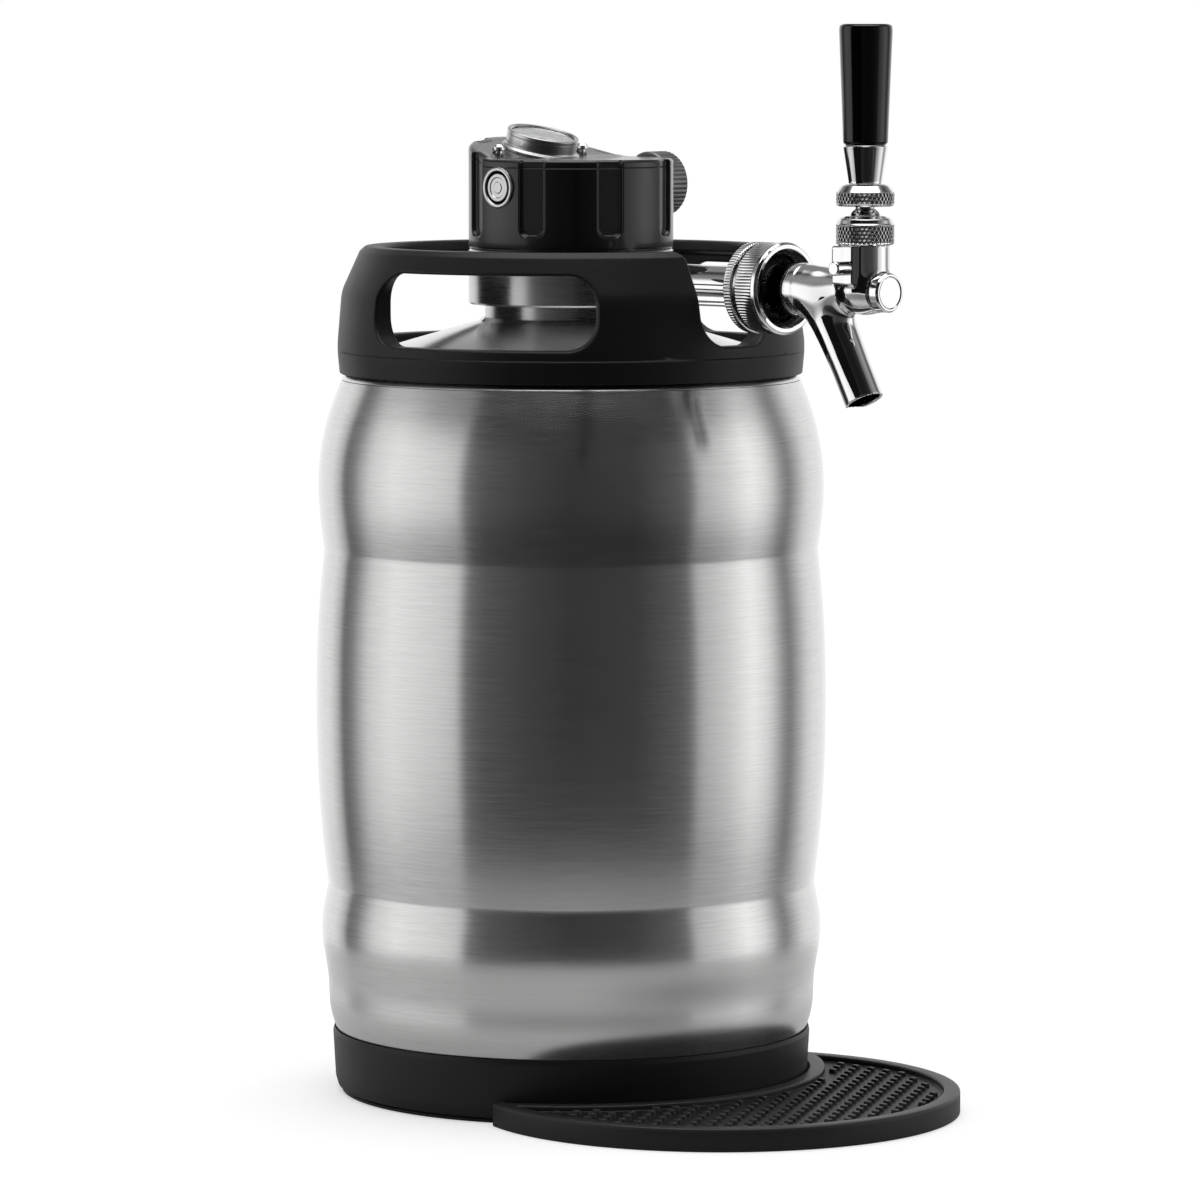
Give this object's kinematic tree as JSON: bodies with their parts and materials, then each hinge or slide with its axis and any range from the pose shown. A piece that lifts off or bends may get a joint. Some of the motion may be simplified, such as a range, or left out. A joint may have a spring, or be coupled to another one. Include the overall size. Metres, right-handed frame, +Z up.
{
  "type": "mini keg drink dispenser",
  "caption": "Double-walled steel mini keg on a rubber boot, with a black handle collar, a gas regulator head, a chrome tap and a rubber drip mat.",
  "frame": {"origin": "on the keg's axis, at the underside of the rubber boot's foot", "axes": "+Z up along the keg's axis, -Y towards the tap, +X towards the regulator knob"},
  "size_m": [0.191, 0.2609, 0.3987],
  "materials": {
    "black_rubber": "matte",
    "seal_rubber": "matte",
    "brushed_steel": "brushed",
    "chrome": "polished",
    "satin_black": "satin",
    "gloss_black": "gloss",
    "satin_aluminium": "satin",
    "valve_brass": "satin",
    "dial_grey": "matte",
    "gauge_lens": "gloss",
    "white_nylon": "matte"
  },
  "bodies": {
    "keg": {"boot": "black_rubber", "outer_barrel": "brushed_steel", "outer_shoulder": "brushed_steel", "base_plate": "brushed_steel", "inner_vessel": "brushed_steel", "keg_neck": "brushed_steel", "handle_collar": "satin_black"},
    "mat": {"drip_mat": "black_rubber"},
    "head": {"manifold": "brushed_steel", "neck_gasket": "seal_rubber", "plug_o_ring": "seal_rubber", "dip_tube": "brushed_steel", "check_valve": "seal_rubber", "piercing_pin": "brushed_steel", "piercing_seal": "seal_rubber", "housing": "satin_black", "housing_screws": "chrome", "gauge_case": "satin_aluminium", "gauge_bezel": "satin_aluminium", "gauge_dial": "dial_grey", "gauge_glass": "gauge_lens", "bourdon_tube": "valve_brass", "gauge_stem": "valve_brass", "regulator_body": "valve_brass", "regulator_nut": "valve_brass", "piston": "valve_brass", "piston_o_ring": "seal_rubber", "regulator_spring": "brushed_steel", "relief_ring": "satin_aluminium", "relief_valve": "valve_brass", "shank": "chrome", "shank_lock_ring": "chrome", "coupling_nut": "chrome", "shank_washer": "seal_rubber", "faucet_body": "chrome", "front_plug": "chrome", "stop_pin": "chrome", "bonnet": "chrome", "ball_seat": "white_nylon"},
    "sleeve": {"co2_sleeve": "satin_aluminium", "co2_cartridge": "brushed_steel"},
    "lever": {"lever": "chrome", "lever_collar": "chrome", "ferrule": "chrome", "grip": "gloss_black"},
    "valve": {"valve_shaft": "brushed_steel", "seat_washer": "seal_rubber"},
    "knob": {"regulator_knob": "satin_aluminium", "knob_spindle": "brushed_steel"},
    "seat": {"spring_seat": "valve_brass"},
    "relief": {"relief_button": "satin_aluminium", "relief_spring": "brushed_steel"},
    "needle": {"gauge_needle": "satin_black"}
  },
  "joints": [
    {"name": "head_lift", "type": "slide", "parent": "keg", "child": "head", "axis": [0, 0, 1], "range_m": [0, 0.29]},
    {"name": "mat_slide", "type": "slide", "parent": "keg", "child": "mat", "axis": [0, -1, 0], "range_m": [0, 0.15]},
    {"name": "sleeve_slide", "type": "slide", "parent": "head", "child": "sleeve", "axis": [0, 0, -1], "range_m": [0, 0.095]},
    {"name": "tap_lever", "type": "hinge", "parent": "head", "child": "lever", "pos_m": [0, -0.1481, 0.3272], "axis": [1, 0, 0], "range_deg": [0, 18]},
    {"name": "valve_slide", "type": "slide", "parent": "head", "child": "valve", "axis": [0, 1, 0], "range_m": [0, 0.0075]},
    {"name": "regulator_turn", "type": "hinge", "parent": "head", "child": "knob", "pos_m": [0.045, 0, 0.3385], "axis": [1, 0, 0], "range_deg": [0, 300]},
    {"name": "seat_slide", "type": "slide", "parent": "head", "child": "seat", "axis": [1, 0, 0], "range_m": [0, 0.00105]},
    {"name": "relief_push", "type": "slide", "parent": "head", "child": "relief", "axis": [1, 0, 0], "range_m": [0, 0.0025], "stiffness_N_per_m": 400, "springref_m": -0.002},
    {"name": "needle_turn", "type": "hinge", "parent": "head", "child": "needle", "pos_m": [0, 0.0163, 0.351], "axis": [0, -0.2487, 0.9686], "range_deg": [-270, 0]}
  ],
  "couplings": [
    {"joint": "valve_slide", "follows": "tap_lever", "m_per_rad": 0.0237},
    {"joint": "seat_slide", "follows": "regulator_turn", "m_per_rad": 0.00019894}
  ]
}
